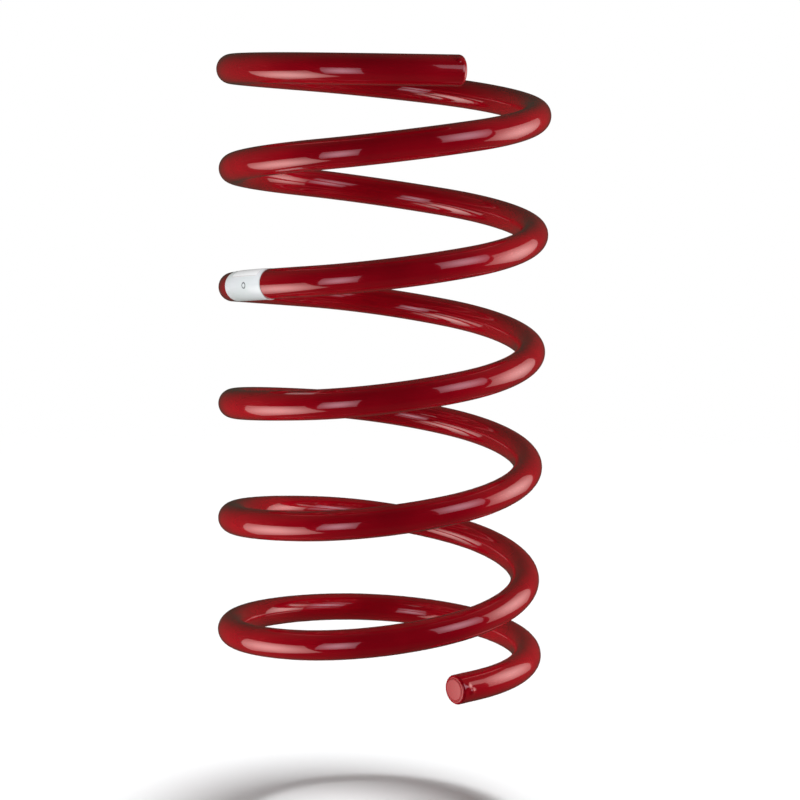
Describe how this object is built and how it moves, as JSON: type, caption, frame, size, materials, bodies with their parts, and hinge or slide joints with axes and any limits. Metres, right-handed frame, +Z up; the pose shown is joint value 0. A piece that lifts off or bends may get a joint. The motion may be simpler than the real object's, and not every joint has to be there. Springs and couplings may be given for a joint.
{
  "type": "suspension coil spring",
  "caption": "Right-hand wound compression coil spring for a car's suspension, in glossy red painted round steel wire with plain cut open ends and a blank wrap-round label.",
  "frame": {"origin": "On the spring's axis at the lower seat: the plane that the lower flat arc of wire rests on, at the centre of that arc's circle.", "axes": "+Z runs up the spring's axis from the lower seat to the upper one. +X is square to the direction that the picture looks along, to the viewer's right, and +Y points away from the viewer. The lower cut end lies 62 degrees from +X towards -Y."},
  "size_m": [0.1437, 0.1433, 0.2666],
  "materials": {
    "red_wire": "gloss",
    "label_paper": "satin paper"
  },
  "bodies": {
    "lower_end": {"lower_end": "red_wire"},
    "coil_1_arc_2": {"coil_1_arc_2": "red_wire"},
    "coil_1_arc_3": {"coil_1_arc_3": "red_wire"},
    "coil_1_arc_4": {"coil_1_arc_4": "red_wire"},
    "coil_1_arc_5": {"coil_1_arc_5": "red_wire"},
    "coil_1_arc_6": {"coil_1_arc_6": "red_wire"},
    "coil_2_arc_1": {"coil_2_arc_1": "red_wire"},
    "coil_2_arc_2": {"coil_2_arc_2": "red_wire"},
    "coil_2_arc_3": {"coil_2_arc_3": "red_wire"},
    "coil_2_arc_4": {"coil_2_arc_4": "red_wire"},
    "coil_2_arc_5": {"coil_2_arc_5": "red_wire"},
    "coil_2_arc_6": {"coil_2_arc_6": "red_wire"},
    "coil_3_arc_1": {"coil_3_arc_1": "red_wire"},
    "coil_3_arc_2": {"coil_3_arc_2": "red_wire"},
    "coil_3_arc_3": {"coil_3_arc_3": "red_wire"},
    "coil_3_arc_4": {"coil_3_arc_4": "red_wire"},
    "coil_3_arc_5": {"coil_3_arc_5": "red_wire"},
    "coil_3_arc_6": {"coil_3_arc_6": "red_wire"},
    "coil_4_arc_1": {"coil_4_arc_1": "red_wire"},
    "coil_4_arc_2": {"coil_4_arc_2": "red_wire"},
    "coil_4_arc_3": {"coil_4_arc_3": "red_wire"},
    "coil_4_arc_4": {"coil_4_arc_4": "red_wire"},
    "coil_4_arc_5": {"coil_4_arc_5": "red_wire", "label": "label_paper"},
    "coil_4_arc_6": {"coil_4_arc_6": "red_wire"},
    "coil_5_arc_1": {"coil_5_arc_1": "red_wire"},
    "coil_5_arc_2": {"coil_5_arc_2": "red_wire"},
    "coil_5_arc_3": {"coil_5_arc_3": "red_wire"},
    "coil_5_arc_4": {"coil_5_arc_4": "red_wire"},
    "coil_5_arc_5": {"coil_5_arc_5": "red_wire"},
    "coil_5_arc_6": {"coil_5_arc_6": "red_wire"},
    "coil_6_arc_1": {"coil_6_arc_1": "red_wire"},
    "coil_6_arc_2": {"coil_6_arc_2": "red_wire"},
    "coil_6_arc_3": {"coil_6_arc_3": "red_wire"},
    "coil_6_arc_4": {"coil_6_arc_4": "red_wire"},
    "coil_6_arc_5": {"coil_6_arc_5": "red_wire"},
    "upper_end": {"upper_end": "red_wire"}
  },
  "joints": [
    {"name": "twist_01", "type": "hinge", "parent": "lower_end", "child": "coil_1_arc_2", "pos_m": [0.065, -0.00569, 0.00625], "axis": [-0.0872, -0.9962, 0], "range_deg": [0, 0.5834], "stiffness_Nm_per_rad": 2780},
    {"name": "twist_02", "type": "hinge", "parent": "coil_1_arc_2", "child": "coil_1_arc_3", "pos_m": [0.03743, 0.05345, 0.00696], "axis": [0.8189, -0.5736, -0.0189], "range_deg": [0, 1.17], "stiffness_Nm_per_rad": 2780},
    {"name": "twist_03", "type": "hinge", "parent": "coil_1_arc_3", "child": "coil_1_arc_4", "pos_m": [-0.0275, 0.05916, 0.0098], "axis": [0.9048, 0.422, -0.0565], "range_deg": [0, 1.75], "stiffness_Nm_per_rad": 2780},
    {"name": "twist_04", "type": "hinge", "parent": "coil_1_arc_4", "child": "coil_1_arc_5", "pos_m": [-0.06476, 0.00589, 0.01548], "axis": [0.084, 0.992, -0.0941], "range_deg": [0, 2.33], "stiffness_Nm_per_rad": 2780},
    {"name": "twist_05", "type": "hinge", "parent": "coil_1_arc_5", "child": "coil_1_arc_6", "pos_m": [-0.03707, -0.05268, 0.02326], "axis": [-0.819, 0.5627, -0.1126], "range_deg": [0, 2.92], "stiffness_Nm_per_rad": 2780},
    {"name": "compression", "type": "hinge", "parent": "coil_1_arc_6", "child": "coil_2_arc_1", "pos_m": [0.02745, -0.05751, 0.03173], "axis": [-0.8937, -0.4345, -0.1121], "range_deg": [0, 3.5], "stiffness_Nm_per_rad": 2780},
    {"name": "twist_07", "type": "hinge", "parent": "coil_2_arc_1", "child": "coil_2_arc_2", "pos_m": [0.0635, -0.00378, 0.04016], "axis": [-0.0633, -0.9917, -0.1119], "range_deg": [0, 3.5], "stiffness_Nm_per_rad": 2780},
    {"name": "twist_08", "type": "hinge", "parent": "coil_2_arc_2", "child": "coil_2_arc_3", "pos_m": [0.03457, 0.05409, 0.0486], "axis": [0.8312, -0.5446, -0.1121], "range_deg": [0, 3.5], "stiffness_Nm_per_rad": 2780},
    {"name": "twist_09", "type": "hinge", "parent": "coil_2_arc_3", "child": "coil_2_arc_4", "pos_m": [-0.03004, 0.0575, 0.05707], "axis": [0.8838, 0.454, -0.1126], "range_deg": [0, 3.5], "stiffness_Nm_per_rad": 2780},
    {"name": "twist_10", "type": "hinge", "parent": "coil_2_arc_4", "child": "coil_2_arc_5", "pos_m": [-0.06489, 0.003, 0.06556], "axis": [0.0414, 0.9928, -0.1128], "range_deg": [0, 3.5], "stiffness_Nm_per_rad": 2780},
    {"name": "twist_11", "type": "hinge", "parent": "coil_2_arc_5", "child": "coil_2_arc_6", "pos_m": [-0.03469, -0.05422, 0.07405], "axis": [-0.843, 0.526, -0.1126], "range_deg": [0, 3.5], "stiffness_Nm_per_rad": 2780},
    {"name": "twist_12", "type": "hinge", "parent": "coil_2_arc_6", "child": "coil_3_arc_1", "pos_m": [0.02998, -0.05619, 0.08251], "axis": [-0.8736, -0.4736, -0.1121], "range_deg": [0, 3.5], "stiffness_Nm_per_rad": 2780},
    {"name": "twist_13", "type": "hinge", "parent": "coil_3_arc_1", "child": "coil_3_arc_2", "pos_m": [0.06362, -0.00092, 0.09095], "axis": [-0.0194, -0.9935, -0.1119], "range_deg": [0, 3.5], "stiffness_Nm_per_rad": 2780},
    {"name": "twist_14", "type": "hinge", "parent": "coil_3_arc_2", "child": "coil_3_arc_3", "pos_m": [0.03216, 0.05562, 0.09939], "axis": [0.8544, -0.5073, -0.1121], "range_deg": [0, 3.5], "stiffness_Nm_per_rad": 2780},
    {"name": "twist_15", "type": "hinge", "parent": "coil_3_arc_3", "child": "coil_3_arc_4", "pos_m": [-0.03253, 0.05617, 0.10785], "axis": [0.8629, 0.4926, -0.1126], "range_deg": [0, 3.5], "stiffness_Nm_per_rad": 2780},
    {"name": "twist_16", "type": "hinge", "parent": "coil_3_arc_4", "child": "coil_3_arc_5", "pos_m": [-0.06495, 0.00018, 0.11634], "axis": [-0.0025, 0.9936, -0.1128], "range_deg": [0, 3.5], "stiffness_Nm_per_rad": 2780},
    {"name": "twist_17", "type": "hinge", "parent": "coil_3_arc_5", "child": "coil_3_arc_6", "pos_m": [-0.03225, -0.05564, 0.12483], "axis": [-0.8654, 0.4882, -0.1126], "range_deg": [0, 3.5], "stiffness_Nm_per_rad": 2780},
    {"name": "twist_18", "type": "hinge", "parent": "coil_3_arc_6", "child": "coil_4_arc_1", "pos_m": [0.03244, -0.05476, 0.1333], "axis": [-0.8518, -0.5117, -0.1121], "range_deg": [0, 3.5], "stiffness_Nm_per_rad": 2780},
    {"name": "twist_19", "type": "hinge", "parent": "coil_4_arc_1", "child": "coil_4_arc_2", "pos_m": [0.06361, 0.00194, 0.14173], "axis": [0.0245, -0.9934, -0.1119], "range_deg": [0, 3.5], "stiffness_Nm_per_rad": 2780},
    {"name": "twist_20", "type": "hinge", "parent": "coil_4_arc_2", "child": "coil_4_arc_3", "pos_m": [0.02969, 0.05704, 0.15017], "axis": [0.876, -0.4691, -0.1121], "range_deg": [0, 3.5], "stiffness_Nm_per_rad": 2780},
    {"name": "twist_21", "type": "hinge", "parent": "coil_4_arc_3", "child": "coil_4_arc_4", "pos_m": [-0.03497, 0.05473, 0.15864], "axis": [0.8403, 0.5303, -0.1126], "range_deg": [0, 3.5], "stiffness_Nm_per_rad": 2780},
    {"name": "twist_22", "type": "hinge", "parent": "coil_4_arc_4", "child": "coil_4_arc_5", "pos_m": [-0.06487, -0.00263, 0.16713], "axis": [-0.0464, 0.9925, -0.1128], "range_deg": [0, 3.5], "stiffness_Nm_per_rad": 2780},
    {"name": "twist_23", "type": "hinge", "parent": "coil_4_arc_5", "child": "coil_4_arc_6", "pos_m": [-0.02974, -0.05696, 0.17562], "axis": [-0.8861, 0.4495, -0.1125], "range_deg": [0, 3.5], "stiffness_Nm_per_rad": 2780},
    {"name": "twist_24", "type": "hinge", "parent": "coil_4_arc_6", "child": "coil_5_arc_1", "pos_m": [0.03485, -0.05322, 0.18408], "axis": [-0.8284, -0.5488, -0.1121], "range_deg": [0, 3.5], "stiffness_Nm_per_rad": 2780},
    {"name": "twist_25", "type": "hinge", "parent": "coil_5_arc_1", "child": "coil_5_arc_2", "pos_m": [0.06348, 0.0048, 0.19252], "axis": [0.0683, -0.9914, -0.1119], "range_deg": [0, 3.5], "stiffness_Nm_per_rad": 2780},
    {"name": "twist_26", "type": "hinge", "parent": "coil_5_arc_2", "child": "coil_5_arc_3", "pos_m": [0.02716, 0.05835, 0.20096], "axis": [0.8959, -0.43, -0.1122], "range_deg": [0, 3.5], "stiffness_Nm_per_rad": 2780},
    {"name": "twist_27", "type": "hinge", "parent": "coil_5_arc_3", "child": "coil_5_arc_4", "pos_m": [-0.03733, 0.05319, 0.20943], "axis": [0.8161, 0.5669, -0.1126], "range_deg": [0, 3.5], "stiffness_Nm_per_rad": 2780},
    {"name": "twist_28", "type": "hinge", "parent": "coil_5_arc_4", "child": "coil_5_arc_5", "pos_m": [-0.06468, -0.00544, 0.21792], "axis": [-0.0902, 0.9895, -0.1128], "range_deg": [0, 3.5], "stiffness_Nm_per_rad": 2780},
    {"name": "twist_29", "type": "hinge", "parent": "coil_5_arc_5", "child": "coil_5_arc_6", "pos_m": [-0.02718, -0.05816, 0.22641], "axis": [-0.9051, 0.41, -0.1125], "range_deg": [0, 3.5], "stiffness_Nm_per_rad": 2780},
    {"name": "twist_30", "type": "hinge", "parent": "coil_5_arc_6", "child": "coil_6_arc_1", "pos_m": [0.03718, -0.05157, 0.23487], "axis": [-0.8034, -0.5849, -0.1121], "range_deg": [0, 3.5], "stiffness_Nm_per_rad": 2780},
    {"name": "twist_31", "type": "hinge", "parent": "coil_6_arc_1", "child": "coil_6_arc_2", "pos_m": [0.06322, 0.00765, 0.2433], "axis": [0.112, -0.9874, -0.1119], "range_deg": [0, 2.92], "stiffness_Nm_per_rad": 2780},
    {"name": "twist_32", "type": "hinge", "parent": "coil_6_arc_2", "child": "coil_6_arc_3", "pos_m": [0.02453, 0.05962, 0.25104], "axis": [0.9152, -0.3919, -0.0935], "range_deg": [0, 2.33], "stiffness_Nm_per_rad": 2780},
    {"name": "twist_33", "type": "hinge", "parent": "coil_6_arc_3", "child": "coil_6_arc_4", "pos_m": [-0.04, 0.05176, 0.25669], "axis": [0.7977, 0.6004, -0.0566], "range_deg": [0, 1.75], "stiffness_Nm_per_rad": 2780},
    {"name": "twist_34", "type": "hinge", "parent": "coil_6_arc_4", "child": "coil_6_arc_5", "pos_m": [-0.06547, -0.00824, 0.25956], "axis": [-0.1216, 0.9924, -0.0196], "range_deg": [0, 1.17], "stiffness_Nm_per_rad": 2780},
    {"name": "twist_35", "type": "hinge", "parent": "coil_6_arc_5", "child": "upper_end", "pos_m": [-0.02622, -0.06036, 0.26032], "axis": [-0.9204, 0.3911, -0.0006], "range_deg": [0, 0.5834], "stiffness_Nm_per_rad": 2780}
  ],
  "couplings": [
    {"joint": "twist_01", "follows": "compression", "ratio": 0.16667},
    {"joint": "twist_02", "follows": "compression", "ratio": 0.33333},
    {"joint": "twist_03", "follows": "compression", "ratio": 0.5},
    {"joint": "twist_04", "follows": "compression", "ratio": 0.66667},
    {"joint": "twist_05", "follows": "compression", "ratio": 0.83333},
    {"joint": "twist_07", "follows": "compression", "ratio": 1},
    {"joint": "twist_08", "follows": "compression", "ratio": 1},
    {"joint": "twist_09", "follows": "compression", "ratio": 1},
    {"joint": "twist_10", "follows": "compression", "ratio": 1},
    {"joint": "twist_11", "follows": "compression", "ratio": 1},
    {"joint": "twist_12", "follows": "compression", "ratio": 1},
    {"joint": "twist_13", "follows": "compression", "ratio": 1},
    {"joint": "twist_14", "follows": "compression", "ratio": 1},
    {"joint": "twist_15", "follows": "compression", "ratio": 1},
    {"joint": "twist_16", "follows": "compression", "ratio": 1},
    {"joint": "twist_17", "follows": "compression", "ratio": 1},
    {"joint": "twist_18", "follows": "compression", "ratio": 1},
    {"joint": "twist_19", "follows": "compression", "ratio": 1},
    {"joint": "twist_20", "follows": "compression", "ratio": 1},
    {"joint": "twist_21", "follows": "compression", "ratio": 1},
    {"joint": "twist_22", "follows": "compression", "ratio": 1},
    {"joint": "twist_23", "follows": "compression", "ratio": 1},
    {"joint": "twist_24", "follows": "compression", "ratio": 1},
    {"joint": "twist_25", "follows": "compression", "ratio": 1},
    {"joint": "twist_26", "follows": "compression", "ratio": 1},
    {"joint": "twist_27", "follows": "compression", "ratio": 1},
    {"joint": "twist_28", "follows": "compression", "ratio": 1},
    {"joint": "twist_29", "follows": "compression", "ratio": 1},
    {"joint": "twist_30", "follows": "compression", "ratio": 1},
    {"joint": "twist_31", "follows": "compression", "ratio": 0.83333},
    {"joint": "twist_32", "follows": "compression", "ratio": 0.66667},
    {"joint": "twist_33", "follows": "compression", "ratio": 0.5},
    {"joint": "twist_34", "follows": "compression", "ratio": 0.33333},
    {"joint": "twist_35", "follows": "compression", "ratio": 0.16667}
  ]
}
